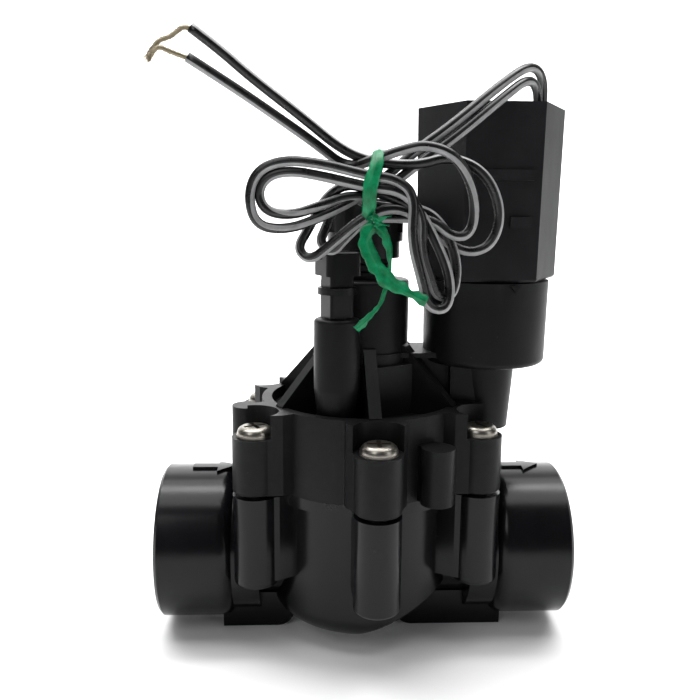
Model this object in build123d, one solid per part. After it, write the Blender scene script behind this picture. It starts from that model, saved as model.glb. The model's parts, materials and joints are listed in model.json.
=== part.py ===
from build123d import *
import math
import os

# One-inch irrigation solenoid valve: globe body with slip sockets, bonnet with flow control,
# manual bleed screw, and a 24 V solenoid with two leads tied in a hank.
# Frame: millimetres, +Z up, +X downstream, origin on the base plane under the seat axis.

# ---- driving dimensions ----
HALF_LENGTH = 55.5
FLOW_Z = 23.0
SOCKET_R = 21.0
SOCKET_BORE_R = 16.8
SOCKET_DEPTH = 25.0
SOCKET_SHOULDER_X = 35.0
NECK_R = 14.8
NECK_COLLAR_R = 19.0
NECK_COLLAR_X = 28.3
PASSAGE_R = 12.0
PASSAGE_WALL = 2.5

BOWL_R = 25.5
BOWL_BOTTOM_Z = 4.5
CHAMBER_R = 22.0
CHAMBER_BOTTOM_Z = 8.0
FLANGE_R = 27.6
FLANGE_HEIGHT = 3.0
PARTING_Z = 43.0
SEAT_Z = 39.95

SCREW_CIRCLE_R = 33.9
SCREW_ANGLES = [-86.8, -30, 30, 86.8, 148, 212]
BOSS_R = 5.9
BODY_BOSS_Z = 18.5
BONNET_BOSS_Z = 58.5
BOSS_GAP = 0.9
SCREW_R = 2.3
SCREW_HEAD_R = 4.6
SCREW_HEAD_HEIGHT = 2.7
SCREW_TIP_Z = 32.5

BONNET_R = 28.0
BONNET_BASE_Z = 43.2
ROOF_Z = 62.0
CEILING_Z = 58.5
RIM_Z = 65.0
RIM_WALL = 2.6
RIB_THICKNESS = 3.2
RIB_TOP_Z = 80.0
POST_R = 12.0
POST_TOP_Z = 97.5
STEM_BORE_R = 7.1

BLEED_X = -7.9
BLEED_Y = -18.0
BLEED_ANGLE = 24.0
BLEED_POST_R = 5.8
BLEED_POST_Z = 89.0
BLEED_BORE_R = 3.6

SOLENOID_X = 33.0
CUP_R_TOP = 16.8
CUP_R_BOTTOM = 16.5
CUP_Z = 75.2
CUP_TOP_Z = 97.5
CUP_BORE_R = 13.5
CUP_FLOOR_Z = 84.0
HOUSING_Z = 98.0
HOUSING_TOP_Z = 142.0
HOUSING_SIDE = 19.5
HOUSING_DRAFT = 0.57
HOUSING_BORE_R = 15.0
POTTING_Z = 140.5

DIAPHRAGM_Z = 40.0
DIAPHRAGM_THICKNESS = 2.0
BEAD_R = 26.4

LEAD_R = 1.15
STRAND_R = 0.5

os.makedirs("parts", exist_ok=True)


def cylinder(radius, low, high, x=0.0, y=0.0):
    """Upright cylinder between two heights."""
    return Pos(x, y, low) * Cylinder(radius, high - low, align=(Align.CENTER, Align.CENTER, Align.MIN))


def cone(low_radius, high_radius, low, high, x=0.0, y=0.0):
    """Upright cone frustum between two heights."""
    solid = Cone(low_radius, high_radius, high - low, align=(Align.CENTER, Align.CENTER, Align.MIN))
    return Pos(x, y, low) * solid


def flow_cylinder(radius, start, end, z=FLOW_Z):
    """Cylinder along the flow axis between two X stations."""
    return Pos(start, 0, z) * Rot(0, 90, 0) * Cylinder(
        radius, end - start, align=(Align.CENTER, Align.CENTER, Align.MIN)
    )


def block(x0, x1, y0, y1, z0, z1):
    """Box between two corners."""
    return Pos(x0, y0, z0) * Box(x1 - x0, y1 - y0, z1 - z0, align=(Align.MIN, Align.MIN, Align.MIN))


def ring(major, minor, z, x=0.0, y=0.0):
    """O-ring lying flat."""
    return Pos(x, y, z) * Torus(major, minor)


def prism(points, low, high):
    """Plan outline raised between two heights."""
    return extrude(Pos(0, 0, low) * make_face(Polyline(*points, close=True)), high - low)


def turned(points):
    """Solid of revolution about Z from an outline of (radius, z) points."""
    return revolve(Plane.XZ * make_face(Polyline(*points, close=True)), Axis.Z)


def square_bar(side, low, high, corner, angle, x=0.0, y=0.0):
    """Upright square bar with rounded corners, turned about its own axis."""
    face = Pos(x, y, low) * Rot(0, 0, angle) * RectangleRounded(side, side, corner)
    return extrude(face, high - low)


def polar(radius, degrees):
    """Plan position at a radius and an angle from +X."""
    return radius * math.cos(math.radians(degrees)), radius * math.sin(math.radians(degrees))


def coil_spring(mean_radius, wire_radius, low, high, turns, x=0.0, y=0.0):
    """Round-wire helical spring between two heights."""
    pitch = (high - low - 2 * wire_radius) / turns
    path = Helix(pitch, pitch * turns, mean_radius)
    section = Plane(path @ 0, z_dir=path % 0) * Circle(wire_radius)
    return Pos(x, y, low + wire_radius) * sweep(section, path, is_frenet=True)


def arc_radii(points):
    """Tangent arc radius for each corner, as large as its two runs allow."""
    corners = [Vector(*point) for point in points]
    radii = []
    for before, corner, after in zip(corners, corners[1:], corners[2:]):
        run_in = corner - before
        run_out = after - corner
        turn = math.radians(run_in.get_angle(run_out))
        radii.append(0.45 * min(run_in.length, run_out.length) / math.tan(turn / 2))
    return radii


def lead_tube(name, points, radius):
    """Round tube along straight runs joined by tangent arcs; prints its radii and volume check."""
    radii = arc_radii(points)
    path = FilletPolyline(*points, radius=radii)
    section = Plane(path @ 0, z_dir=path % 0) * Circle(radius)
    tube = sweep(section, path)
    expected = math.pi * radius**2 * path.length
    print(name, "radii", [round(value, 1) for value in radii], "length", round(path.length, 1))
    print(name, "volume over section times length", round(tube.volume / expected, 4))
    return tube


def boss_web(low, high, half_width, outer_half_width):
    """Web from the wall to a screw boss, drawn for the boss on +X."""
    inner = CHAMBER_R + 1.0
    shoulder = BONNET_R + 2.0
    outline = [
        (inner, -half_width),
        (shoulder, -half_width),
        (SCREW_CIRCLE_R, -outer_half_width),
        (SCREW_CIRCLE_R, outer_half_width),
        (shoulder, half_width),
        (inner, half_width),
    ]
    return prism(outline, low, high)


def flow_arrow(tip_x, length):
    """Raised arrow on top of a socket, pointing downstream."""
    head = 5.0
    outline = [
        (tip_x, 0),
        (tip_x - head, 4.2),
        (tip_x - head, 1.6),
        (tip_x - length, 1.6),
        (tip_x - length, -1.6),
        (tip_x - head, -1.6),
        (tip_x - head, -4.2),
    ]
    raised = prism(outline, FLOW_Z + 10, FLOW_Z + 25)
    return raised & flow_cylinder(SOCKET_R + 0.7, tip_x - length - 1, tip_x + 1)


# ---- body ----
def valve_body():
    socket_length = HALF_LENGTH - SOCKET_SHOULDER_X
    socket = Cylinder(SOCKET_R, socket_length, align=(Align.CENTER, Align.CENTER, Align.MIN))
    rims = socket.edges().filter_by(GeomType.CIRCLE).sort_by(Axis.Z)
    socket = fillet(rims[0], 4.0)
    socket = chamfer(socket.edges().filter_by(GeomType.CIRCLE).sort_by(Axis.Z)[-1], 0.8)
    outlet = Pos(SOCKET_SHOULDER_X, 0, FLOW_Z) * Rot(0, 90, 0) * socket
    inlet = Pos(-SOCKET_SHOULDER_X, 0, FLOW_Z) * Rot(0, -90, 0) * socket

    bowl = cylinder(BOWL_R, BOWL_BOTTOM_Z, PARTING_Z)
    bowl = fillet(bowl.edges().sort_by(Axis.Z)[0], 6.0)
    rise_x = -5.0
    wedge = [(rise_x, BOWL_BOTTOM_Z - 5), (rise_x, BOWL_BOTTOM_Z), (BOWL_R + 2, 18.5), (BOWL_R + 2, -1.0)]
    under_cut = extrude(Plane.XZ * make_face(Polyline(*wedge, close=True)), 40, both=True)
    bowl = bowl - under_cut
    neck = flow_cylinder(NECK_R, -SOCKET_SHOULDER_X - 1, SOCKET_SHOULDER_X + 1)
    collar_in = flow_cylinder(NECK_COLLAR_R, -SOCKET_SHOULDER_X - 1, -NECK_COLLAR_X)
    collar_out = flow_cylinder(NECK_COLLAR_R, NECK_COLLAR_X, SOCKET_SHOULDER_X + 1)
    flange = cylinder(FLANGE_R, PARTING_Z - FLANGE_HEIGHT, PARTING_Z)
    shell = bowl + neck + collar_in + collar_out + flange + inlet + outlet

    foot_half_width = 8.0
    for x0, x1 in ((-39.0, -19.0), (9.0, 39.0)):
        foot = block(x0, x1, -foot_half_width, foot_half_width, 0.0, 10.0)
        inner_edges = foot.edges().filter_by(Axis.Y).group_by(Axis.Z)[0]
        inner_edge = inner_edges.sort_by(Axis.X)[-1 if x0 < 0 else 0]
        shell = shell + fillet(inner_edge, 5.0)

    for angle in SCREW_ANGLES:
        boss = cylinder(BOSS_R, BODY_BOSS_Z, PARTING_Z, SCREW_CIRCLE_R, 0)
        boss = fillet(boss.edges().sort_by(Axis.Z)[0], 1.2)
        web = boss_web(BODY_BOSS_Z + 1.5, PARTING_Z, 5.6, 5.0)
        shell = shell + Rot(0, 0, angle) * (boss + web)

    shell = shell + flow_arrow(-SOCKET_SHOULDER_X - 0.5, 12.0) + flow_arrow(HALF_LENGTH - 5.5, 10.5)

    chamber = cylinder(CHAMBER_R, CHAMBER_BOTTOM_Z, PARTING_Z)
    chamber = fillet(chamber.edges().sort_by(Axis.Z)[0], 5.0)
    chamber = chamber - Pos(0, 0, PASSAGE_WALL + 1.5) * under_cut
    seat_outer = PASSAGE_R + PASSAGE_WALL
    seat_tube = cylinder(seat_outer, CHAMBER_BOTTOM_Z, SEAT_Z)
    outlet_tube = flow_cylinder(seat_outer, 0, BOWL_R)
    chamber = chamber - seat_tube - outlet_tube
    shell = shell - chamber

    inlet_passage = flow_cylinder(PASSAGE_R, -HALF_LENGTH, -seat_outer - 1.5)
    outlet_passage = flow_cylinder(PASSAGE_R, 0, HALF_LENGTH)
    seat_passage = cylinder(PASSAGE_R, FLOW_Z, PARTING_Z + 1)
    elbow = Pos(0, 0, FLOW_Z) * Sphere(PASSAGE_R)
    shell = shell - inlet_passage - outlet_passage - seat_passage - elbow
    for start in (-HALF_LENGTH - 1, HALF_LENGTH - SOCKET_DEPTH):
        shell = shell - flow_cylinder(SOCKET_BORE_R, start, start + SOCKET_DEPTH + 1)

    bead_groove = cylinder(BEAD_R, PARTING_Z - 1.0, PARTING_Z + 1) - cylinder(
        CHAMBER_R - 3, PARTING_Z - 2.0, PARTING_Z + 2
    )
    shell = shell - bead_groove
    for angle in SCREW_ANGLES:
        x, y = polar(SCREW_CIRCLE_R, angle)
        shell = shell - cylinder(SCREW_R, SCREW_TIP_Z, PARTING_Z + 1, x, y)
    return shell


# ---- bonnet ----
# radius, angle, lower and upper height of the plain lugs between the screw bosses
LUGS = [(32.0, -57.5, BONNET_BASE_Z + 0.3, BONNET_BOSS_Z - 0.5), (32.4, 178.0, 47.0, 61.8)]


def bonnet_rib():
    outline = [
        (8.0, ROOF_Z - 1),
        (8.0, RIB_TOP_Z + 1.5),
        (POST_R + 1.0, RIB_TOP_Z),
        (BONNET_R - 1.2, RIM_Z + 0.3),
        (BONNET_R - 1.2, ROOF_Z - 1),
    ]
    face = Plane.XZ * make_face(Polyline(*outline, close=True))
    return extrude(face, RIB_THICKNESS / 2, both=True)


def solenoid_seat():
    cup = cone(CUP_R_BOTTOM, CUP_R_TOP, CUP_Z, CUP_TOP_Z, SOLENOID_X, 0)
    cup = fillet(cup.edges().sort_by(Axis.Z)[0], 1.5)
    column = cone(7.4, 8.8, 56.8, CUP_Z + 1, SOLENOID_X, 0)
    web = block(BONNET_R - 5, SOLENOID_X, -7.4, 7.4, 56.8, CUP_Z + 1)
    bridge = block(POST_R - 2, SOLENOID_X - 6, -4.5, 4.5, ROOF_Z, CUP_Z + 3)
    fin = block(POST_R - 5, SOLENOID_X - 7, -8.5, 8.5, 77.0, 78.3)
    mark_x = SOLENOID_X + 4.2
    mark = [(mark_x - 1.3, CUP_TOP_Z - 0.4), (mark_x + 1.3, CUP_TOP_Z - 0.4), (mark_x, CUP_TOP_Z - 2.2)]
    index_mark = extrude(Plane.XZ.offset(12) * make_face(Polyline(*mark, close=True)), 5.1)
    return cup + column + web + bridge + fin + index_mark


def bonnet():
    shell = cylinder(BONNET_R, BONNET_BASE_Z, RIM_Z)
    boss_base = PARTING_Z + BOSS_GAP
    for angle in SCREW_ANGLES:
        boss = cylinder(BOSS_R, boss_base, BONNET_BOSS_Z, SCREW_CIRCLE_R, 0)
        boss = chamfer(boss.edges().sort_by(Axis.Z)[0], 0.4)
        web = boss_web(boss_base, RIM_Z, 7.6, 5.7)
        scoop = cylinder(6.4, BONNET_BOSS_Z, RIM_Z + 2, SCREW_CIRCLE_R + 0.3, 0)
        shell = shell + Rot(0, 0, angle) * (boss + web - scoop)
        shell = shell - Rot(0, 0, angle) * scoop
    for lug_radius, lug_angle, low, high in LUGS:
        lug = cylinder(4.2, low, high, lug_radius, 0)
        lug_web = block(CHAMBER_R + 1, lug_radius, -3.0, 3.0, low, high)
        shell = shell + Rot(0, 0, lug_angle) * (lug + lug_web)

    dish = cylinder(BONNET_R - RIM_WALL, ROOF_Z, RIM_Z + 2)
    for angle in SCREW_ANGLES:
        pocket_wall = cylinder(8.6, ROOF_Z - 1, RIM_Z + 3, SCREW_CIRCLE_R + 0.3, 0)
        dish = dish - Rot(0, 0, angle) * pocket_wall
    shell = shell - dish
    chamber = cylinder(CHAMBER_R, BONNET_BASE_Z - 1, CEILING_Z)
    bead_recess = cylinder(BEAD_R, BONNET_BASE_Z - 1, PARTING_Z + 1.0)
    shell = shell - chamber - bead_recess

    post = cylinder(POST_R, CEILING_Z, POST_TOP_Z)
    post = fillet(post.edges().sort_by(Axis.Z)[-1], 1.0)
    step = extrude(Pos(0, 0, ROOF_Z - 1) * Rot(0, 0, 30) * RegularPolygon(16.2, 6), 75.5 - ROOF_Z + 1)
    collar = cylinder(POST_R + 0.7, ROOF_Z, 78.4)
    shell = shell + post + step + collar
    for angle in SCREW_ANGLES:
        shell = shell + Rot(0, 0, angle) * bonnet_rib()

    bleed_post = Pos(BLEED_X, BLEED_Y, 0) * turned([
        (0.0, ROOF_Z - 1), (4.7, ROOF_Z - 1), (BLEED_POST_R, 71.0), (BLEED_POST_R, BLEED_POST_Z),
        (0.0, BLEED_POST_Z),
    ])
    bleed_post = fillet(bleed_post.edges().filter_by(GeomType.CIRCLE).sort_by(Axis.Z)[-1], 0.9)
    bleed_angle = math.degrees(math.atan2(BLEED_Y, BLEED_X))
    bleed_web = Rot(0, 0, bleed_angle) * block(8.0, 18.0, -1.6, 1.6, ROOF_Z - 1, 84.0)
    shell = shell + bleed_post + bleed_web + solenoid_seat()

    shell = shell - cylinder(STEM_BORE_R, CEILING_Z - 1, POST_TOP_Z + 1)
    shell = shell - cylinder(BLEED_BORE_R, 66.0, BLEED_POST_Z + 1, BLEED_X, BLEED_Y)
    shell = shell - cylinder(0.9, CEILING_Z - 1, 67.0, BLEED_X, BLEED_Y)

    nozzle = cone(3.0, 1.4, CUP_FLOOR_Z - 1, 88.95, SOLENOID_X, 0)
    cup_bore = cylinder(CUP_BORE_R, CUP_FLOOR_Z, CUP_TOP_Z + 1, SOLENOID_X, 0)
    exhaust = cylinder(0.7, 60.0, 90.0, SOLENOID_X, 0)
    pilot = cylinder(1.0, 66.0, CUP_FLOOR_Z + 1, SOLENOID_X - 11.0, 0)
    pilot_feed = Pos(20.0, 0, 0) * cylinder(1.0, CEILING_Z - 1, 67.0)
    pilot_link = flow_cylinder(1.0, 19.2, SOLENOID_X - 10.2, 66.5)
    shell = shell - cup_bore + nozzle
    shell = shell - exhaust - pilot - pilot_feed - pilot_link
    for angle in SCREW_ANGLES:
        x, y = polar(SCREW_CIRCLE_R, angle)
        shell = shell - cylinder(SCREW_R + 0.3, BONNET_BASE_Z - 1, BONNET_BOSS_Z + 1, x, y)
    return shell


def bonnet_screws():
    head = cylinder(SCREW_HEAD_R, 0, SCREW_HEAD_HEIGHT)
    head = fillet(head.edges().sort_by(Axis.Z)[-1], 1.9)
    shank = cylinder(SCREW_R, SCREW_TIP_Z - BONNET_BOSS_Z, 0.0)
    shank = chamfer(shank.edges().sort_by(Axis.Z)[0], 1.0)
    slot = block(-2.9, 2.9, -0.55, 0.55, SCREW_HEAD_HEIGHT - 1.5, SCREW_HEAD_HEIGHT + 1)
    washer_face = cylinder(SCREW_HEAD_R + 0.15, 0, 0.5)
    screw = head + washer_face + shank - slot - Rot(0, 0, 90) * slot
    screws = []
    for index, angle in enumerate(SCREW_ANGLES):
        x, y = polar(SCREW_CIRCLE_R, angle)
        screws.append(Pos(x, y, BONNET_BOSS_Z) * Rot(0, 0, 23 * index) * screw)
    return Compound(children=screws)


# ---- diaphragm group ----
def diaphragm():
    top = DIAPHRAGM_Z + DIAPHRAGM_THICKNESS
    bead_top = PARTING_Z + 1.0
    return turned([
        (3.05, DIAPHRAGM_Z), (17.0, DIAPHRAGM_Z), (19.2, DIAPHRAGM_Z + 1.2), (21.8, PARTING_Z - 1.0),
        (BEAD_R, PARTING_Z - 1.0), (BEAD_R, bead_top), (21.8, bead_top), (18.4, top + 0.8),
        (16.4, top), (3.05, top),
    ])


def diaphragm_washer():
    base = DIAPHRAGM_Z + DIAPHRAGM_THICKNESS
    plate = cylinder(16.0, base, base + 1.6) + cylinder(6.5, base, base + 3.6)
    spring_ridge = cylinder(11.0, base, base + 2.5) - cylinder(9.9, base - 1, base + 3)
    vents = cylinder(1.3, base - 1, base + 5, 13.2, 0)
    return plate + spring_ridge - vents - cylinder(3.05, base - 1, base + 5)


def diaphragm_retainer():
    plate = cylinder(10.0, DIAPHRAGM_Z - 1.8, DIAPHRAGM_Z)
    pin = cylinder(3.0, DIAPHRAGM_Z - 0.5, DIAPHRAGM_Z + 6.8)
    guide = cylinder(1.0, DIAPHRAGM_Z - 6, DIAPHRAGM_Z - 1)
    fins = block(-9.0, 9.0, -0.8, 0.8, DIAPHRAGM_Z - 7, DIAPHRAGM_Z - 1)
    return plate + pin + guide + fins + Rot(0, 0, 90) * fins


def pilot_filter():
    base = DIAPHRAGM_Z + DIAPHRAGM_THICKNESS + 1.6
    return cylinder(2.2, base, base + 2.2, 13.2, 0) - cylinder(1.2, base - 1, base + 1.4, 13.2, 0)


def diaphragm_spring():
    base = DIAPHRAGM_Z + DIAPHRAGM_THICKNESS + 1.6
    return coil_spring(9.0, 0.55, base, CEILING_Z, 4)


# ---- flow control ----
STEM_TIP_Z = 57.8
HANDLE_Z = 107.6
HANDLE_TOP_Z = 118.5
HANDLE_R = 10.1
SKIRT_Z = 103.2
SKIRT_R = 9.3
DRIVE_SIDE = 6.0
DRIVE_TOP_Z = 114.0


def flow_stem():
    stem = cylinder(4.0, STEM_TIP_Z, 64.0) + cone(4.0, 7.0, 64.0, 67.0) + cylinder(7.0, 67.0, HANDLE_Z)
    groove = cylinder(8.0, 88.9, 91.1) - cylinder(5.0, 88.0, 92.0)
    drive = square_bar(DRIVE_SIDE, HANDLE_Z - 1, DRIVE_TOP_Z, 0.4, 0)
    thread = None
    for index in range(4):
        z = 99.6 + 2.0 * index
        thread = turned([(6.2, z), (7.4, z - 0.4), (7.4, z + 0.4)]) + thread if thread else turned(
            [(6.2, z), (7.4, z - 0.4), (7.4, z + 0.4)]
        )
    return stem - groove - thread + drive - cylinder(1.25, 106.0, DRIVE_TOP_Z + 1)


def stem_oring():
    return ring(6.03, 1.0, 90.0)


def flow_handle():
    knob = cylinder(HANDLE_R, HANDLE_Z, HANDLE_TOP_Z)
    knob = fillet(knob.edges().sort_by(Axis.Z)[-1], 1.2)
    for index in range(8):
        x, y = polar(HANDLE_R + 1.6, 22.5 + 45 * index)
        knob = knob - cylinder(3.0, HANDLE_Z + 2.2, HANDLE_TOP_Z + 1, x, y)
    skirt = cylinder(SKIRT_R, SKIRT_Z, HANDLE_Z + 0.5) - cylinder(7.6, SKIRT_Z - 1, HANDLE_Z)
    knob = knob + skirt - square_bar(DRIVE_SIDE + 0.1, HANDLE_Z - 1, DRIVE_TOP_Z + 0.1, 0.4, 0)
    return knob - cylinder(4.2, DRIVE_TOP_Z, HANDLE_TOP_Z + 1)


def handle_screw():
    head = cylinder(3.6, DRIVE_TOP_Z, DRIVE_TOP_Z + 2.0)
    head = fillet(head.edges().sort_by(Axis.Z)[-1], 0.9)
    slot = block(-4, 4, -0.4, 0.4, DRIVE_TOP_Z + 1.1, DRIVE_TOP_Z + 3)
    return head + cylinder(1.2, 107.0, DRIVE_TOP_Z + 0.5) - slot


# ---- bleed screw ----
BLEED_GAP_Z = 89.3


def bleed_screw():
    plug = cylinder(3.52, 67.6, BLEED_GAP_Z, BLEED_X, BLEED_Y)
    groove = cylinder(5.0, 84.9, 86.7, BLEED_X, BLEED_Y) - cylinder(2.0, 84.0, 88.0, BLEED_X, BLEED_Y)
    shaft = square_bar(6.4, BLEED_GAP_Z - 0.01, 100.0, 0.6, BLEED_ANGLE, BLEED_X, BLEED_Y)
    collar = cylinder(4.9, 95.1, 96.8, BLEED_X, BLEED_Y)
    head = square_bar(9.1, 99.7, 105.6, 1.4, BLEED_ANGLE, BLEED_X, BLEED_Y)
    head = fillet(head.edges().group_by(Axis.Z)[-1], 0.6)
    slot = Pos(BLEED_X, BLEED_Y, 0) * Rot(0, 0, BLEED_ANGLE) * block(-5, 5, -0.7, 0.7, 103.6, 107)
    return plug - groove + shaft + collar + head - slot


def bleed_oring():
    return ring(2.8, 0.77, 85.8, BLEED_X, BLEED_Y)


# ---- solenoid ----
def solenoid_housing():
    low = Pos(SOLENOID_X, 0, HOUSING_Z) * RegularPolygon(HOUSING_SIDE - HOUSING_DRAFT, 6)
    high = Pos(SOLENOID_X, 0, HOUSING_TOP_Z) * RegularPolygon(HOUSING_SIDE, 6)
    shell = loft([low, high])
    shell = chamfer(shell.edges().group_by(Axis.Z)[0], 0.6)
    face_y = -HOUSING_SIDE * math.sqrt(3) / 2
    pads = block(27.0, 40.5, face_y - 0.55, face_y + 2, 123.2, 125.8)
    pads = pads + block(35.0, 40.3, face_y - 0.5, face_y + 2, 111.6, 114.3)
    shell = shell + pads
    shell = shell - cylinder(HOUSING_BORE_R, HOUSING_Z + 3.0, HOUSING_TOP_Z + 1, SOLENOID_X, 0)
    return shell - cylinder(9.05, HOUSING_Z - 1, HOUSING_Z + 4, SOLENOID_X, 0)


def potting_plug():
    return cylinder(HOUSING_BORE_R, POTTING_Z - 3.0, POTTING_Z, SOLENOID_X, 0)


def coil_yoke():
    can = cylinder(14.6, 101.2, 137.2) - cylinder(13.4, 102.6, 135.8)
    can = can - cylinder(5.7, 100, 140)
    window = block(11.0, 16.0, -4.0, 4.0, 106.0, 132.0)
    return Pos(SOLENOID_X, 0, 0) * (can - window - Rot(0, 0, 180) * window)


def coil_bobbin():
    spool = cylinder(13.2, 102.8, 104.0) + cylinder(13.2, 134.2, 135.4) + cylinder(6.6, 103, 135)
    return Pos(SOLENOID_X, 0, 0) * (spool - cylinder(5.6, 100, 140))


def coil_winding():
    return Pos(SOLENOID_X, 0, 0) * (cylinder(12.4, 104.0, 134.2) - cylinder(6.6, 100, 140))


def core_tube():
    tube = cylinder(4.6, 91.0, 133.0) + cylinder(8.0, 91.0, 92.4)
    return Pos(SOLENOID_X, 0, 0) * (tube - cylinder(4.0, 90, 140))


def pole_piece():
    return cylinder(4.0, 120.0, 134.0, SOLENOID_X, 0)


def solenoid_adapter():
    base = cylinder(13.42, 84.3, 97.6) + cylinder(9.0, 97.0, 101.1)
    groove = cylinder(15.0, 86.4, 88.6) - cylinder(11.6, 86.0, 89.0)
    inside = cylinder(10.5, 84.0, 91.0) + cylinder(8.0, 90.0, 92.4) + cylinder(4.62, 92.0, 102.0)
    return Pos(SOLENOID_X, 0, 0) * (base - groove - inside)


def solenoid_oring():
    return ring(12.55, 0.9, 87.5, SOLENOID_X, 0)


def plunger():
    body = cylinder(3.92, 89.6, 117.5)
    spring_pocket = cylinder(2.9, 110.0, 118.0)
    seal_pocket = cylinder(2.4, 89.0, 91.2)
    vents = block(3.2, 5.0, -0.5, 0.5, 89.0, 118.0)
    return Pos(SOLENOID_X, 0, 0) * (body - spring_pocket - seal_pocket - vents - Rot(0, 0, 180) * vents)


def plunger_seal():
    return cylinder(2.4, 89.0, 91.2, SOLENOID_X, 0)


def plunger_spring():
    return coil_spring(2.3, 0.32, 110.0, 120.0, 7, SOLENOID_X, 0)


# ---- leads, hank and tie ----
HANK_Y = -31.8
HANK_HALF_DEPTH = 5.0
LEAD_A_EXIT = [
    (44.6, -5.0, 140.5), (45.2, -6.2, 147.6), (39.8, -13.0, 151.6),
    (30.4, -20.6, 145.2), (18.8, -26.0, 135.6), (8.6, -28.5, 128.4),
]
LEAD_B_EXIT = [
    (42.8, -7.4, 140.5), (43.0, -8.8, 144.8), (38.8, -14.6, 148.0),
    (31.0, -21.4, 142.2), (19.8, -26.6, 133.0), (9.6, -29.4, 125.8),
]
LEAD_A_END = [
    (-7.0, -29.5, 128.8), (-16.6, -29.7, 136.4), (-27.6, -30.5, 144.4),
    (-34.6, -31.0, 150.3), (-40.4, -31.2, 154.4),
]
LEAD_B_END = [
    (-6.0, -28.8, 124.9), (-13.2, -28.9, 130.4), (-23.2, -29.9, 137.0),
    (-32.6, -30.9, 143.0), (-41.2, -31.4, 148.2),
]
STRAND_A = [(-40.4, -31.2, 154.4), (-44.8, -31.2, 153.2), (-48.6, -31.2, 150.8), (-50.9, -31.2, 146.9)]
STRAND_B = [(-41.2, -31.4, 148.2), (-44.4, -32.3, 149.6), (-47.4, -32.5, 149.4)]


def hank_lobe(x, z, half_x, half_z, angle, half_depth):
    """Flattened oval slab standing across the view, one for each group of turns."""
    face = Pos(x, HANK_Y, z) * Rot(90, 0, 0) * Rot(0, 0, angle) * Ellipse(half_x, half_z)
    return extrude(face, half_depth, both=True)


def lead_hank():
    left = hank_lobe(-15.0, 119.0, 16.0, 8.8, 8, HANK_HALF_DEPTH - 0.6)
    right = hank_lobe(16.0, 116.5, 16.0, 12.3, -12, HANK_HALF_DEPTH)
    hanging = hank_lobe(12.5, 107.5, 16.5, 6.5, -75, HANK_HALF_DEPTH)
    lower = hank_lobe(-9.5, 113.5, 10.5, 6.0, 45, HANK_HALF_DEPTH - 0.6)
    neck = Pos(0, HANK_Y, 121.0) * Rot(0, 90, 0) * extrude(Ellipse(7.2, 4.9), 6.0, both=True)
    return left + right + hanging + lower + neck


def twist_tie():
    band_face = Ellipse(8.0, 5.8) - Ellipse(7.1, 4.9)
    band = Pos(-0.5, HANK_Y, 121.0) * Rot(0, 90, 0) * extrude(band_face, 2.4, both=True)
    front = HANK_Y - 5.9
    wide = [(-1.4, 115.4), (1.6, 115.4), (5.6, 103.6), (13.2, 97.0), (11.8, 93.8), (2.2, 101.6)]
    thin = [(-1.2, 115.0), (0.4, 115.0), (1.4, 96.2), (-3.2, 87.6), (-4.8, 89.0), (-0.6, 96.8)]
    tails = None
    for offset, outline in ((0.0, wide), (0.9, thin)):
        face = Plane.XZ.offset(-front + offset - 0.9) * make_face(Polyline(*outline, close=True))
        tail = extrude(face, 0.9)
        tails = tail if tails is None else tails + tail
    knot = Pos(-0.2, front + 1.7, 114.2) * Sphere(2.3)
    return band + tails + knot


def bare_strands():
    strand_a = lead_tube("strand_a", STRAND_A, STRAND_R)
    strand_b = lead_tube("strand_b", STRAND_B, STRAND_R)
    return Compound(children=[strand_a, strand_b])


PARTS = {
    "valve_body": valve_body,
    "bonnet": bonnet,
    "bonnet_screws": bonnet_screws,
    "diaphragm": diaphragm,
    "diaphragm_washer": diaphragm_washer,
    "diaphragm_retainer": diaphragm_retainer,
    "diaphragm_spring": diaphragm_spring,
    "pilot_filter": pilot_filter,
    "flow_stem": flow_stem,
    "stem_oring": stem_oring,
    "flow_handle": flow_handle,
    "handle_screw": handle_screw,
    "bleed_screw": bleed_screw,
    "bleed_oring": bleed_oring,
    "solenoid_housing": solenoid_housing,
    "potting_plug": potting_plug,
    "coil_yoke": coil_yoke,
    "coil_bobbin": coil_bobbin,
    "coil_winding": coil_winding,
    "core_tube": core_tube,
    "pole_piece": pole_piece,
    "solenoid_adapter": solenoid_adapter,
    "solenoid_oring": solenoid_oring,
    "plunger": plunger,
    "plunger_seal": plunger_seal,
    "plunger_spring": plunger_spring,
    "lead_a_exit": lambda: lead_tube("lead_a_exit", LEAD_A_EXIT, LEAD_R),
    "lead_b_exit": lambda: lead_tube("lead_b_exit", LEAD_B_EXIT, LEAD_R),
    "lead_a_end": lambda: lead_tube("lead_a_end", LEAD_A_END, LEAD_R),
    "lead_b_end": lambda: lead_tube("lead_b_end", LEAD_B_END, LEAD_R),
    "lead_hank": lead_hank,
    "bare_strands": bare_strands,
    "twist_tie": twist_tie,
}

for node, make in PARTS.items():
    export_step(make(), f"parts/{node}.step")
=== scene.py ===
import bpy, bmesh, json, math, random
from mathutils import Matrix, Vector, noise


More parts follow.
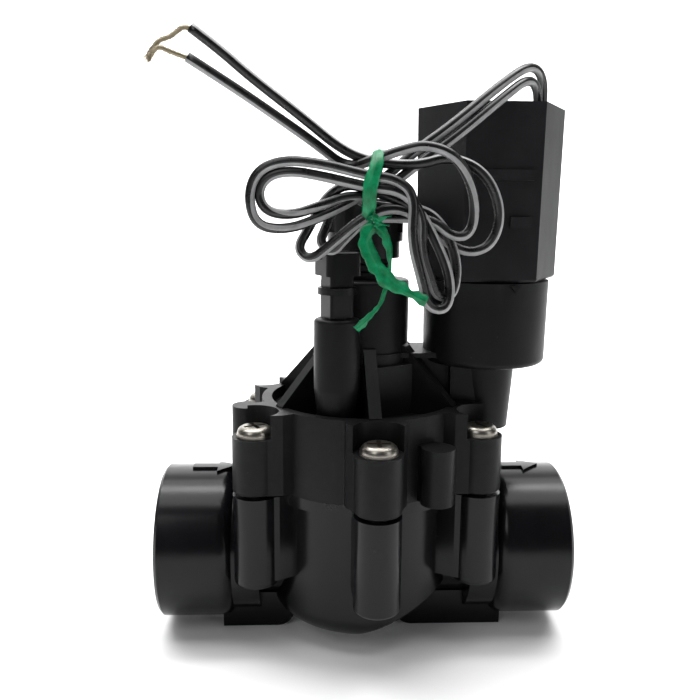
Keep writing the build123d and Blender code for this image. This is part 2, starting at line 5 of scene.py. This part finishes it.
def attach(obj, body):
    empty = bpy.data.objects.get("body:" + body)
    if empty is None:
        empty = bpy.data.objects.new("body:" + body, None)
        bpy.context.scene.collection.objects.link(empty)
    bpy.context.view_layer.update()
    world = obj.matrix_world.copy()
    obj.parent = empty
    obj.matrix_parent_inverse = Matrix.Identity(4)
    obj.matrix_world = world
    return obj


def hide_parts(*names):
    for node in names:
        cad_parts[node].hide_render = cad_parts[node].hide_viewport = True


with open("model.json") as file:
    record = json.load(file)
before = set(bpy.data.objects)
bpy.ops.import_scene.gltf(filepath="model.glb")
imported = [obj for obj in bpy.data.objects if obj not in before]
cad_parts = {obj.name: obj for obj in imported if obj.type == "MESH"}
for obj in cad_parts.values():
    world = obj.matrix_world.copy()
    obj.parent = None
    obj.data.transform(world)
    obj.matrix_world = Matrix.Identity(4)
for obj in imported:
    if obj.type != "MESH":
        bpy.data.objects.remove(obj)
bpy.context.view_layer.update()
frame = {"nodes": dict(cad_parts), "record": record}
random.seed(7)


# ---------------------------------------------------------------- camera
def make_camera():
    """Camera in front of the valve, a little to the left and looking slightly down."""
    right = Vector((0.99916, -0.03992, 0.00887))
    up = Vector((-0.00154, 0.18019, 0.98363))
    back = right.cross(up)
    place = Vector((-0.01263, -0.21162, 0.11633))
    data = bpy.data.cameras.new("studio_camera")
    data.lens = 40.14
    data.sensor_width = 36.0
    data.clip_start = 0.01
    camera = bpy.data.objects.new("studio_camera", data)
    camera.matrix_world = Matrix((
        (right.x, up.x, back.x, place.x),
        (right.y, up.y, back.y, place.y),
        (right.z, up.z, back.z, place.z),
        (0, 0, 0, 1),
    ))
    bpy.context.scene.collection.objects.link(camera)
    bpy.context.scene.camera = camera
    bpy.context.scene.view_settings.view_transform = "Standard"


make_camera()


# ---------------------------------------------------------------- mesh helpers
def link(name, mesh):
    obj = bpy.data.objects.new(name, mesh)
    bpy.context.scene.collection.objects.link(obj)
    return obj


def link_bmesh(name, bm):
    mesh = bpy.data.meshes.new(name)
    bm.to_mesh(mesh)
    bm.free()
    return link(name, mesh)


SAME_POINT = 1e-5


def spline_points(name, route, resolution=10):
    """Points along the smooth NURBS line of a route."""
    curve = bpy.data.curves.new(name + "_line", "CURVE")
    curve.dimensions = "3D"
    curve.resolution_u = resolution
    spline = curve.splines.new("NURBS")
    spline.points.add(len(route) - 1)
    for point, place in zip(spline.points, route):
        point.co = (*place, 1.0)
    spline.order_u = 3
    spline.use_endpoint_u = True
    holder = bpy.data.objects.new(name + "_line", curve)
    line = bpy.data.meshes.new_from_object(holder)
    points = []
    for vertex in line.vertices:
        if not points or (vertex.co - points[-1]).length > SAME_POINT:
            points.append(vertex.co.copy())
    bpy.data.objects.remove(holder)
    bpy.data.curves.remove(curve)
    bpy.data.meshes.remove(line)
    return points


def tangents_along(points):
    tangents = []
    for index in range(len(points)):
        before = points[max(index - 1, 0)]
        after = points[min(index + 1, len(points) - 1)]
        tangents.append((after - before).normalized())
    return tangents


def frames_along(points, start_side):
    """Two side vectors at each point, carried along a line without twist."""
    side = Vector(start_side)
    result = []
    for tangent in tangents_along(points):
        side = (side - tangent * side.dot(tangent)).normalized()
        result.append((side.copy(), tangent.cross(side)))
    return result


def skin(bm, rings, stripe_faces=0, closed=False):
    """Faces between rings of points, with both ends capped unless the last ring meets the first.

    The first stripe_faces places round each ring take the second material.
    """
    spans = list(zip(rings, rings[1:]))
    if closed:
        spans.append((rings[-1], rings[0]))
    for low, high in spans:
        for k in range(len(low)):
            nxt = (k + 1) % len(low)
            face = bm.faces.new((low[k], low[nxt], high[nxt], high[k]))
            face.material_index = 1 if k < stripe_faces else 0
            face.smooth = True
    if not closed:
        bm.faces.new(list(reversed(rings[0])))
        bm.faces.new(rings[-1])


TUBE_FRONT = Vector((0, -1, 0.12))


def tube(name, points, radius, sides, stripe_turn, stripe_faces):
    """Closed tube whose second material runs along it as a stripe.

    stripe_turn gives, for a share of the way through the points, the angle of the
    stripe's middle from the front of the tube, turning from front towards right.
    """
    bm = bmesh.new()
    rings = []
    half = stripe_faces / 2
    for index, (point, tangent) in enumerate(zip(points, tangents_along(points))):
        facing = (TUBE_FRONT - tangent * TUBE_FRONT.dot(tangent)).normalized()
        right = tangent.cross(facing)
        middle = stripe_turn(index / (len(points) - 1))
        ring = []
        for k in range(sides):
            angle = middle + 2 * math.pi * (k - half) / sides
            outward = facing * math.cos(angle) + right * math.sin(angle)
            ring.append(bm.verts.new(point + radius * outward))
        rings.append(ring)
    skin(bm, rings, stripe_faces)
    return link_bmesh(name, bm)


# ---------------------------------------------------------------- leads
LEAD_DIAMETER = 0.0023
LEAD_A = [
    # out of the housing and over to the tie
    (0.0446, -0.0050, 0.1405), (0.0452, -0.0062, 0.1476), (0.0398, -0.0130, 0.1516),
    (0.0304, -0.0206, 0.1452), (0.0188, -0.0260, 0.1356), (0.0086, -0.0285, 0.1284),
    (0.0005, -0.0272, 0.1210),
    # left loop, out low and back high
    (-0.0058, -0.0290, 0.1172), (-0.0121, -0.0310, 0.1139), (-0.0198, -0.0320, 0.1111),
    (-0.0269, -0.0320, 0.1120), (-0.0285, -0.0320, 0.1190), (-0.0261, -0.0325, 0.1245),
    (-0.0200, -0.0330, 0.1266), (-0.0113, -0.0340, 0.1257), (-0.0014, -0.0352, 0.1232),
    # hanging loop
    (0.0046, -0.0355, 0.1226), (0.0089, -0.0360, 0.1190), (0.0081, -0.0365, 0.1092),
    (0.0108, -0.0362, 0.1000), (0.0124, -0.0358, 0.0938), (0.0172, -0.0352, 0.0934),
    (0.0176, -0.0345, 0.1010),
    (0.0134, -0.0335, 0.1103), (0.0101, -0.0325, 0.1162), (0.0003, -0.0310, 0.1199),
    # small loop, low on the left
    (-0.0058, -0.0285, 0.1218), (-0.0108, -0.0280, 0.1189), (-0.0149, -0.0285, 0.1113),
    (-0.0176, -0.0292, 0.1068), (-0.0146, -0.0306, 0.1040), (-0.0098, -0.0322, 0.1078),
    (-0.0017, -0.0335, 0.1149),
    # right loop, out low and back high
    (0.0064, -0.0325, 0.1166), (0.0130, -0.0312, 0.1116), (0.0209, -0.0305, 0.1059),
    (0.0275, -0.0310, 0.1075), (0.0295, -0.0315, 0.1155), (0.0254, -0.0320, 0.1244),
    (0.0171, -0.0312, 0.1280), (0.0102, -0.0300, 0.1258), (0.0007, -0.0300, 0.1262),
    # free end
    (-0.0070, -0.0295, 0.1288), (-0.0166, -0.0297, 0.1364), (-0.0276, -0.0305, 0.1444),
    (-0.0346, -0.0310, 0.1503), (-0.0404, -0.0312, 0.1544),
]
LEAD_B = [
    (0.0428, -0.0074, 0.1405), (0.0430, -0.0088, 0.1448), (0.0388, -0.0146, 0.1480),
    (0.0310, -0.0214, 0.1422), (0.0198, -0.0266, 0.1330), (0.0096, -0.0294, 0.1258),
    (0.0005, -0.0292, 0.1185),
    (-0.0058, -0.0290, 0.1190), (-0.0121, -0.0305, 0.1166), (-0.0188, -0.0312, 0.1143),
    (-0.0246, -0.0312, 0.1152), (-0.0264, -0.0312, 0.1192), (-0.0243, -0.0318, 0.1230),
    (-0.0191, -0.0325, 0.1243), (-0.0113, -0.0335, 0.1230), (-0.0014, -0.0352, 0.1207),
    (0.0060, -0.0352, 0.1200), (0.0109, -0.0350, 0.1150), (0.0107, -0.0350, 0.1068),
    (0.0134, -0.0345, 0.0996), (0.0148, -0.0338, 0.0962), (0.0188, -0.0332, 0.0964),
    (0.0194, -0.0326, 0.1050),
    (0.0153, -0.0318, 0.1135), (0.0101, -0.0305, 0.1165), (0.0003, -0.0290, 0.1162),
    (-0.0058, -0.0275, 0.1195), (-0.0089, -0.0275, 0.1165), (-0.0111, -0.0280, 0.1111),
    (-0.0124, -0.0288, 0.1082), (-0.0094, -0.0300, 0.1058), (-0.0066, -0.0312, 0.1092),
    (-0.0017, -0.0318, 0.1140),
    (0.0064, -0.0302, 0.1140), (0.0130, -0.0325, 0.1140), (0.0185, -0.0330, 0.1094),
    (0.0226, -0.0335, 0.1111), (0.0226, -0.0340, 0.1200), (0.0181, -0.0345, 0.1280),
    (0.0112, -0.0340, 0.1302), (0.0060, -0.0330, 0.1290), (0.0007, -0.0330, 0.1272),
    (-0.0060, -0.0288, 0.1249), (-0.0132, -0.0289, 0.1304), (-0.0232, -0.0299, 0.1370),
    (-0.0326, -0.0309, 0.1430), (-0.0412, -0.0314, 0.1482),
]
LEAD_SIDES = 24
STRIPE_FACES = 4
# degrees, for turn_a and turn_b
STRIPE_START = -52
STRIPE_SWING = 108
STRIPE_RIPPLE = 9


def clamped(value):
    return min(1.0, max(0.0, value))


def turn_a(share):
    """Stripe angle of lead A, swung to the other side along the left loop."""
    swung = clamped((share - 0.14) / 0.1)
    return math.radians(STRIPE_START + STRIPE_SWING * swung + STRIPE_RIPPLE * math.sin(23 * share))


def turn_b(share):
    """Stripe angle of lead B, swung over along the left loop and back round the right one."""
    swung = min(1.0, 4 * math.sin(math.pi * clamped((share - 0.16) / 0.68)))
    return math.radians(STRIPE_START + STRIPE_SWING * swung + STRIPE_RIPPLE * math.sin(31 * share))


path_a = spline_points("lead_a", LEAD_A)
path_b = spline_points("lead_b", LEAD_B)
lead_a = tube("lead_a", path_a, LEAD_DIAMETER / 2, LEAD_SIDES, turn_a, STRIPE_FACES)
lead_b = tube("lead_b", path_b, LEAD_DIAMETER / 2, LEAD_SIDES, turn_b, STRIPE_FACES)


# ---------------------------------------------------------------- bare strands
WIRE_RADIUS = 0.00014
WIRE_SIDES = 6
WIRE_COUNT = 11
WIRE_SPREAD = 0.00042
LAY_LENGTH = 0.0038
# share of the length after which the wires spread, and how fast
FLARE_START = 0.7
FLARE_RATE = 2.4
STRAND_A = [
    (-0.0399, -0.0312, 0.1540), (-0.0418, -0.0312, 0.1548), (-0.0434, -0.0312, 0.1534),
    (-0.0454, -0.0311, 0.1522), (-0.0476, -0.0313, 0.1515), (-0.0491, -0.0312, 0.1492),
    (-0.0504, -0.0312, 0.1468),
]
STRAND_B = [
    (-0.0408, -0.0314, 0.1479), (-0.0430, -0.0316, 0.1486), (-0.0451, -0.0319, 0.1493),
    (-0.0470, -0.0320, 0.1502), (-0.0483, -0.0318, 0.1496), (-0.0495, -0.0307, 0.1484),
    (-0.0508, -0.0308, 0.1472),
]


def stranded(name, route):
    """Fine wires laid round one another, with loose ends that spread a little."""
    points = spline_points(name, route, 14)
    frames = frames_along(points, (0, 1, 0))
    bm = bmesh.new()
    done = 0.0
    travelled = [0.0]
    for before, after in zip(points, points[1:]):
        done += (after - before).length
        travelled.append(done)
    for wire in range(WIRE_COUNT):
        start = 2 * math.pi * wire / (WIRE_COUNT - 1)
        reach = 0.0 if wire == 0 else WIRE_SPREAD * random.uniform(0.85, 1.2)
        length = done * random.uniform(0.9, 1.0)
        rings = []
        for point, (side, other), distance in zip(points, frames, travelled):
            if distance > length:
                break
            angle = start + 2 * math.pi * distance / LAY_LENGTH
            flare = reach * (1 + FLARE_RATE * max(0.0, distance / done - FLARE_START))
            centre = point + flare * (side * math.cos(angle) + other * math.sin(angle))
            ring = []
            for k in range(WIRE_SIDES):
                turn = 2 * math.pi * k / WIRE_SIDES
                outward = side * math.cos(turn) + other * math.sin(turn)
                ring.append(bm.verts.new(centre + WIRE_RADIUS * outward))
            rings.append(ring)
        skin(bm, rings)
    return link_bmesh(name, bm)


strands_a = stranded("strands_a", STRAND_A)
strands_b = stranded("strands_b", STRAND_B)
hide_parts("bare_strands")
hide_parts("lead_a_exit", "lead_a_end", "lead_hank")
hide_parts("lead_b_exit", "lead_b_end")
for piece, slot in ((lead_a, "lead_black"), (lead_b, "lead_black"),
                    (strands_a, "tinned_copper"), (strands_b, "tinned_copper")):
    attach(piece, "solenoid")


# ---------------------------------------------------------------- twist tie
TIE_THICKNESS = 0.00018
TIE_COLUMNS = 9
RIDGE_HEIGHT = 0.00022
RIDGE_WIDTH = 0.18
CRUMPLE = 0.00022
CURL = 0.0003
FRONT = (0, -1, 0)


def ribbon(bm, points, widths, facing, twists=None, wobble=0.0002, closed=False):
    """Flat plastic ribbon with a raised wire down its middle and uneven edges."""
    rows = []
    for index, (point, (normal, across)) in enumerate(zip(points, frames_along(points, facing))):
        share = index / (len(points) - 1)
        twist = twists(share) if twists else 0.0
        wide = across * math.cos(twist) + normal * math.sin(twist)
        out = normal * math.cos(twist) - across * math.sin(twist)
        front, back = [], []
        for column in range(TIE_COLUMNS):
            place = 2 * column / (TIE_COLUMNS - 1) - 1
            ridge = RIDGE_HEIGHT * math.exp(-(place / RIDGE_WIDTH) ** 2)
            crumple = noise.noise(point * 380 + Vector((0, 0, 1.2 * place))) * CRUMPLE
            edge = wobble * noise.noise(point * 620 + Vector((7 * place, 3, 0))) * abs(place) ** 3
            aside = place * widths(share) / 2 + edge
            base = point + wide * aside + out * (crumple - CURL * place * place)
            front.append(bm.verts.new(base + out * (TIE_THICKNESS / 2 + ridge)))
            back.append(bm.verts.new(base - out * (TIE_THICKNESS / 2 + ridge)))
        rows.append(front + list(reversed(back)))
    skin(bm, rows, closed=closed)


def band_line():
    """Closed line round the leads, leaning to the right, its front moved a little to the left."""
    centre = Vector((-0.0002, -0.0313, 0.1209))
    half_height, half_depth = 0.0083, 0.0060
    lean = Vector((0.16, 0.0, 0.987))
    band = []
    steps = 72
    shift = 0.0011
    for step in range(steps):
        angle = 2 * math.pi * step / steps
        front_share = math.sin(angle) ** 8 if math.sin(angle) > 0 else 0.0
        band.append(
            centre + lean * half_height * math.cos(angle)
            + Vector((0, -half_depth * math.sin(angle), 0))
            + Vector((-shift * math.cos(angle) ** 2 * math.sin(angle), 0, 0))
            - Vector((shift * front_share, 0, 0))
        )
    return band


KNOT_LINE = [
    (-0.0006, -0.0352, 0.1146), (-0.0003, -0.0366, 0.1138), (0.0001, -0.0371, 0.1128),
    (0.0002, -0.0372, 0.1116),
]
WIDE_TAIL = [
    (0.0000, -0.0371, 0.1124), (-0.0018, -0.0377, 0.1112), (-0.0022, -0.0379, 0.1080),
    (0.0006, -0.0380, 0.1027), (0.0045, -0.0380, 0.0992), (0.0084, -0.0381, 0.0972),
    (0.0117, -0.0384, 0.0956),
]
THIN_TAIL = [
    (0.0003, -0.0369, 0.1122), (0.0022, -0.0374, 0.1110), (0.0034, -0.0372, 0.1070),
    (0.0037, -0.0368, 0.1025), (0.0026, -0.0368, 0.0978), (0.0016, -0.0370, 0.0946),
    (-0.0012, -0.0371, 0.0918), (-0.0040, -0.0372, 0.0890),
]
SCRAPS = [
    ((0.0006, -0.0372, 0.1138), (0.0034, -0.0378, 0.1146)),
    ((0.0005, -0.0372, 0.1130), (0.0030, -0.0376, 0.1122)),
]


def band_width(share):
    return 0.0027 + 0.0005 * math.sin(2 * math.pi * share) ** 2


def knot_width(share):
    return 0.0021 - 0.0006 * share


def wide_tail_width(share):
    return 0.0022 + 0.0016 * math.sin(math.pi * min(1.0, 1.15 * share))


def thin_tail_width(share):
    """Narrows at first, and widens again over the last fifth."""
    return 0.0028 - 0.0017 * min(1.0, 2.6 * share) + 0.0008 * max(0.0, share - 0.8) / 0.2


def make_tie():
    bm = bmesh.new()
    ribbon(bm, band_line(), band_width, (0, 0, 1), closed=True)
    knot = spline_points("tie_knot", KNOT_LINE)
    ribbon(bm, knot, knot_width, FRONT, twists=lambda share: 7.0 * share)
    beside = [point + Vector((0.0002, -0.0003, 0)) for point in knot]
    ribbon(bm, beside, knot_width, FRONT, twists=lambda share: 7.0 * share + math.pi / 2)
    wide = spline_points("tie_wide_tail", WIDE_TAIL)
    ribbon(bm, wide, wide_tail_width, FRONT,
           twists=lambda share: 0.28 * math.sin(4 * share), wobble=0.0008)
    thin = spline_points("tie_thin_tail", THIN_TAIL)
    ribbon(bm, thin, thin_tail_width, FRONT,
           twists=lambda share: 0.9 * math.sin(3 * share), wobble=0.0005)
    for start, end in SCRAPS:
        scrap = [Vector(start).lerp(Vector(end), step / 6) for step in range(7)]
        ribbon(bm, scrap, lambda share: 0.0011 * (1.1 - share), FRONT, wobble=0.0006)
    bm.normal_update()
    return link_bmesh("tie_band", bm)


tie = make_tie()
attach(tie, "solenoid")
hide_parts("twist_tie")


# ---------------------------------------------------------------- materials
def new_material(name):
    material = bpy.data.materials.new(name)
    material.use_nodes = True
    nodes = material.node_tree.nodes
    shader = nodes["Principled BSDF"]
    return material, nodes, material.node_tree.links, shader


def noise_node(nodes, links, scale, detail=6.0, roughness=0.55, stretch=(1, 1, 1)):
    """Object-space noise; the coordinates are in metres."""
    where = nodes.new("ShaderNodeTexCoord")
    mapping = nodes.new("ShaderNodeMapping")
    mapping.inputs["Scale"].default_value = stretch
    texture = nodes.new("ShaderNodeTexNoise")
    texture.inputs["Scale"].default_value = scale
    texture.inputs["Detail"].default_value = detail
    texture.inputs["Roughness"].default_value = roughness
    links.new(where.outputs["Object"], mapping.inputs["Vector"])
    links.new(mapping.outputs["Vector"], texture.inputs["Vector"])
    return texture


def ramp(nodes, links, source, stops):
    """Colour ramp over a factor socket; the stops are pairs of a position and a colour."""
    node = nodes.new("ShaderNodeValToRGB")
    while len(node.color_ramp.elements) < len(stops):
        node.color_ramp.elements.new(0.5)
    for element, (position, colour) in zip(node.color_ramp.elements, stops):
        element.position = position
        element.color = (*colour, 1.0)
    links.new(source, node.inputs["Fac"])
    return node


def bump(nodes, links, shader, source, strength, distance, below=None):
    """Bump for the shader from a height socket; below is a bump node that it adds to."""
    node = nodes.new("ShaderNodeBump")
    node.inputs["Strength"].default_value = strength
    node.inputs["Distance"].default_value = distance
    links.new(source, node.inputs["Height"])
    if below is not None:
        links.new(below.outputs["Normal"], node.inputs["Normal"])
    links.new(node.outputs["Normal"], shader.inputs["Normal"])
    return node


def mixed(nodes, links, factor, first, second):
    """Colour mix by a factor socket; first and second are sockets or colours.

    Sockets 6 and 7 and output 2 are the mix node's colour ones.
    """
    node = nodes.new("ShaderNodeMix")
    node.data_type = "RGBA"
    links.new(factor, node.inputs["Factor"])
    for value, socket in ((first, node.inputs[6]), (second, node.inputs[7])):
        if isinstance(value, tuple):
            socket.default_value = (*value, 1.0)
        else:
            links.new(value, socket)
    return node.outputs[2]


def plastic(name, dark, light, rough_low, rough_high, grain=0.12, edge=0.5, dust=0.0, shine=0.5):
    """Moulded plastic: slow colour drift, fine grain, paler edges and, with dust, pale specks."""
    material, nodes, links, shader = new_material(name)
    drift = noise_node(nodes, links, 45.0, 4.0)
    colour = ramp(nodes, links, drift.outputs["Fac"], [(0.3, dark), (0.75, light)])
    geometry = nodes.new("ShaderNodeNewGeometry")
    worn = ramp(nodes, links, geometry.outputs["Pointiness"], [
        (0.51, (0, 0, 0)), (0.60, (1, 1, 1)),
    ])
    scuffs = noise_node(nodes, links, 420.0, 8.0, 0.7)
    scuffed = nodes.new("ShaderNodeMath")
    scuffed.operation = "MULTIPLY"
    links.new(worn.outputs["Color"], scuffed.inputs[0])
    links.new(scuffs.outputs["Fac"], scuffed.inputs[1])
    edge_share = nodes.new("ShaderNodeMath")
    edge_share.operation = "MULTIPLY"
    edge_share.inputs[1].default_value = edge
    links.new(scuffed.outputs[0], edge_share.inputs[0])
    pale = tuple(min(1.0, channel * 4 + 0.03) for channel in light)
    base = mixed(nodes, links, edge_share.outputs[0], colour.outputs["Color"], pale)
    if dust > 0:
        specks = nodes.new("ShaderNodeTexVoronoi")
        specks.inputs["Scale"].default_value = 520.0
        where = nodes.new("ShaderNodeTexCoord")
        links.new(where.outputs["Object"], specks.inputs["Vector"])
        spot = ramp(nodes, links, specks.outputs["Distance"], [
            (0.02, (1, 1, 1)), (0.06, (0, 0, 0)),
        ])
        patch = noise_node(nodes, links, 110.0, 2.0)
        patchy = ramp(nodes, links, patch.outputs["Fac"], [(0.56, (0, 0, 0)), (0.68, (1, 1, 1))])
        here = nodes.new("ShaderNodeMath")
        here.operation = "MULTIPLY"
        links.new(spot.outputs["Color"], here.inputs[0])
        links.new(patchy.outputs["Color"], here.inputs[1])
        amount = nodes.new("ShaderNodeMath")
        amount.operation = "MULTIPLY"
        amount.inputs[1].default_value = dust
        links.new(here.outputs[0], amount.inputs[0])
        base = mixed(nodes, links, amount.outputs[0], base, (0.32, 0.32, 0.33))
    links.new(base, shader.inputs["Base Color"])
    smear = noise_node(nodes, links, 90.0, 5.0, 0.6, (1, 1, 0.4))
    rough = nodes.new("ShaderNodeMapRange")
    rough.inputs["To Min"].default_value = rough_low
    rough.inputs["To Max"].default_value = rough_high
    links.new(smear.outputs["Fac"], rough.inputs["Value"])
    links.new(rough.outputs["Result"], shader.inputs["Roughness"])
    shader.inputs["Specular IOR Level"].default_value = shine
    fine = noise_node(nodes, links, 2600.0, 3.0)
    fine_bump = bump(nodes, links, shader, fine.outputs["Fac"], grain, 0.00006)
    wave = noise_node(nodes, links, 130.0, 2.0)
    bump(nodes, links, shader, wave.outputs["Fac"], 0.10, 0.0004, fine_bump)
    shader.inputs["IOR"].default_value = 1.5
    return material


def metal(name, colour, rough_low, rough_high, streak=(1, 1, 12), strength=0.2):
    """Metal: streaks in the polish, and patches of a darker tone."""
    material, nodes, links, shader = new_material(name)
    streaks = noise_node(nodes, links, 900.0, 6.0, 0.6, streak)
    tone = noise_node(nodes, links, 260.0, 4.0)
    shade = tuple(channel * 0.62 for channel in colour)
    base = mixed(nodes, links, tone.outputs["Fac"], shade, colour)
    links.new(base, shader.inputs["Base Color"])
    rough = nodes.new("ShaderNodeMapRange")
    rough.inputs["To Min"].default_value = rough_low
    rough.inputs["To Max"].default_value = rough_high
    links.new(streaks.outputs["Fac"], rough.inputs["Value"])
    links.new(rough.outputs["Result"], shader.inputs["Roughness"])
    bump(nodes, links, shader, streaks.outputs["Fac"], strength, 0.00004)
    shader.inputs["Metallic"].default_value = 1.0
    return material


def insulation(name, dark, light, rough):
    """Insulation: uneven tone and gloss, and a fine grain."""
    material, nodes, links, shader = new_material(name)
    marks = noise_node(nodes, links, 380.0, 5.0, 0.6)
    colour = ramp(nodes, links, marks.outputs["Fac"], [(0.3, dark), (0.72, light)])
    links.new(colour.outputs["Color"], shader.inputs["Base Color"])
    spread = nodes.new("ShaderNodeMapRange")
    spread.inputs["To Min"].default_value = rough - 0.08
    spread.inputs["To Max"].default_value = rough + 0.14
    links.new(marks.outputs["Fac"], spread.inputs["Value"])
    links.new(spread.outputs["Result"], shader.inputs["Roughness"])
    fine = noise_node(nodes, links, 1800.0, 4.0)
    bump(nodes, links, shader, fine.outputs["Fac"], 0.12, 0.00005)
    shader.inputs["IOR"].default_value = 1.5
    return material


def tie_plastic(name):
    """Green film: creases, uneven tone and gloss, a little light through it."""
    material, nodes, links, shader = new_material(name)
    creases = noise_node(nodes, links, 420.0, 6.0, 0.6)
    colour = ramp(nodes, links, creases.outputs["Fac"], [
        (0.28, (0.0, 0.09, 0.03)), (0.52, (0.0, 0.19, 0.07)), (0.80, (0.004, 0.32, 0.13)),
    ])
    links.new(colour.outputs["Color"], shader.inputs["Base Color"])
    spread = nodes.new("ShaderNodeMapRange")
    spread.inputs["To Min"].default_value = 0.22
    spread.inputs["To Max"].default_value = 0.5
    links.new(creases.outputs["Fac"], spread.inputs["Value"])
    links.new(spread.outputs["Result"], shader.inputs["Roughness"])
    bump(nodes, links, shader, creases.outputs["Fac"], 0.35, 0.00012)
    shader.inputs["Subsurface Weight"].default_value = 0.08
    shader.inputs["Specular IOR Level"].default_value = 0.3
    shader.inputs["Subsurface Radius"].default_value = (0.0005, 0.0012, 0.0006)
    return material


MATERIALS = {
    "body_plastic": plastic(
        "body_gloss", (0.002, 0.002, 0.0025), (0.004, 0.004, 0.005), 0.15, 0.29,
        grain=0.10, edge=0.10, dust=0.6, shine=0.22,
    ),
    "bonnet_plastic": plastic(
        "bonnet_satin", (0.003, 0.003, 0.0035), (0.007, 0.007, 0.0078), 0.34, 0.50,
        grain=0.30, edge=0.14, dust=0.3, shine=0.13,
    ),
    "knob_plastic": plastic(
        "knob_satin", (0.003, 0.003, 0.0033), (0.006, 0.006, 0.0065), 0.26, 0.42,
        grain=0.30, edge=0.14, dust=0.2, shine=0.16,
    ),
    "solenoid_plastic": plastic(
        "solenoid_satin", (0.004, 0.004, 0.0048), (0.009, 0.009, 0.0104), 0.38, 0.52,
        grain=0.35, edge=0.14, dust=0.3, shine=0.15,
    ),
    "potting": plastic(
        "potting_resin", (0.010, 0.010, 0.010), (0.025, 0.025, 0.026), 0.12, 0.35,
        grain=0.10, edge=0.1,
    ),
    "inner_plastic": plastic(
        "acetal", (0.55, 0.54, 0.50), (0.72, 0.70, 0.66), 0.35, 0.5, grain=0.15, edge=0.1,
    ),
    "filter_plastic": plastic(
        "filter", (0.45, 0.08, 0.03), (0.6, 0.12, 0.05), 0.35, 0.5, grain=0.15, edge=0.1,
    ),
    "bobbin_plastic": plastic(
        "nylon", (0.6, 0.58, 0.5), (0.75, 0.73, 0.66), 0.4, 0.55, grain=0.15, edge=0.1,
    ),
    "rubber": plastic(
        "rubber", (0.008, 0.008, 0.008), (0.018, 0.018, 0.018), 0.55, 0.75, grain=0.4, edge=0.1,
    ),
    "stainless": metal("stainless", (0.34, 0.32, 0.285), 0.22, 0.42),
    "spring_steel": metal("spring_wire", (0.66, 0.66, 0.66), 0.22, 0.4),
    "plated_steel": metal("zinc_plate", (0.62, 0.63, 0.60), 0.25, 0.45),
    "copper": metal("enamelled_copper", (0.62, 0.25, 0.10), 0.25, 0.4, (1, 1, 60), 0.5),
    "tinned_copper": metal("tinned_copper", (0.44, 0.38, 0.27), 0.25, 0.45),
    "lead_black": insulation("lead_black", (0.003, 0.003, 0.0035), (0.008, 0.008, 0.009), 0.26),
    "lead_stripe": insulation("lead_stripe", (0.20, 0.20, 0.205), (0.30, 0.30, 0.305), 0.34),
    "tie_green": tie_plastic("tie_green"),
}

for entry in frame["record"]["subparts"]:
    node = frame["nodes"][entry["node"]]
    node.data.materials.clear()
    node.data.materials.append(MATERIALS[entry["material_slot"]])

for lead in (lead_a, lead_b):
    lead.data.materials.append(MATERIALS["lead_black"])
    lead.data.materials.append(MATERIALS["lead_stripe"])
for strands in (strands_a, strands_b):
    strands.data.materials.append(MATERIALS["tinned_copper"])
tie.data.materials.append(MATERIALS["tie_green"])


# ---------------------------------------------------------------- stage
def make_stage():
    """White sweep, a floor that curves up into a backdrop, with a dim grey room round it."""
    material, _, _, shader = new_material("studio_white")
    shader.inputs["Base Color"].default_value = (0.9, 0.9, 0.9, 1)
    shader.inputs["Roughness"].default_value = 0.95
    half_width, front, back, bend, height = 2.5, -1.6, 1.1, 0.5, 2.4
    profile = [(front, 0.0), (back - bend, 0.0)]
    steps = 16
    for step in range(1, steps + 1):
        angle = math.pi / 2 * step / steps
        profile.append((back - bend + bend * math.sin(angle), bend - bend * math.cos(angle)))
    profile.append((back, height))
    verts = [(x, y, z) for y, z in profile for x in (-half_width, half_width)]
    faces = [(2 * k, 2 * k + 1, 2 * k + 3, 2 * k + 2) for k in range(len(profile) - 1)]
    mesh = bpy.data.meshes.new("studio_sweep")
    mesh.from_pydata(verts, [], faces)
    for polygon in mesh.polygons:
        polygon.use_smooth = True
    mesh.materials.append(material)
    link("studio_sweep", mesh)

    world = bpy.data.worlds.new("studio_world")
    bpy.context.scene.world = world
    world.use_nodes = True
    background = world.node_tree.nodes["Background"]
    background.inputs["Color"].default_value = (1, 1, 1, 1)
    background.inputs["Strength"].default_value = 0.05


def area_light(name, place, target, size, power):
    data = bpy.data.lights.new(name, "AREA")
    data.shape = "RECTANGLE"
    data.size, data.size_y = size
    data.energy = power
    lamp = bpy.data.objects.new(name, data)
    lamp.location = place
    lamp.rotation_mode = "QUATERNION"
    lamp.rotation_quaternion = (Vector(target) - Vector(place)).to_track_quat("-Z", "Y")
    bpy.context.scene.collection.objects.link(lamp)


make_stage()
CENTRE = (0, 0, 0.07)
area_light("top_softbox", (0.0, 0.15, 1.3), (0, 0.1, 0), (1.6, 1.2), 24.0)
area_light("backdrop_softbox", (0.0, 0.2, 1.0), (0, 1.1, 0.45), (1.6, 0.5), 26.0)
area_light("key_softbox", (-0.45, -0.6, 0.65), CENTRE, (0.35, 0.5), 1.7)
area_light("fill_softbox", (0.7, -0.45, 0.35), CENTRE, (0.25, 0.6), 1.1)
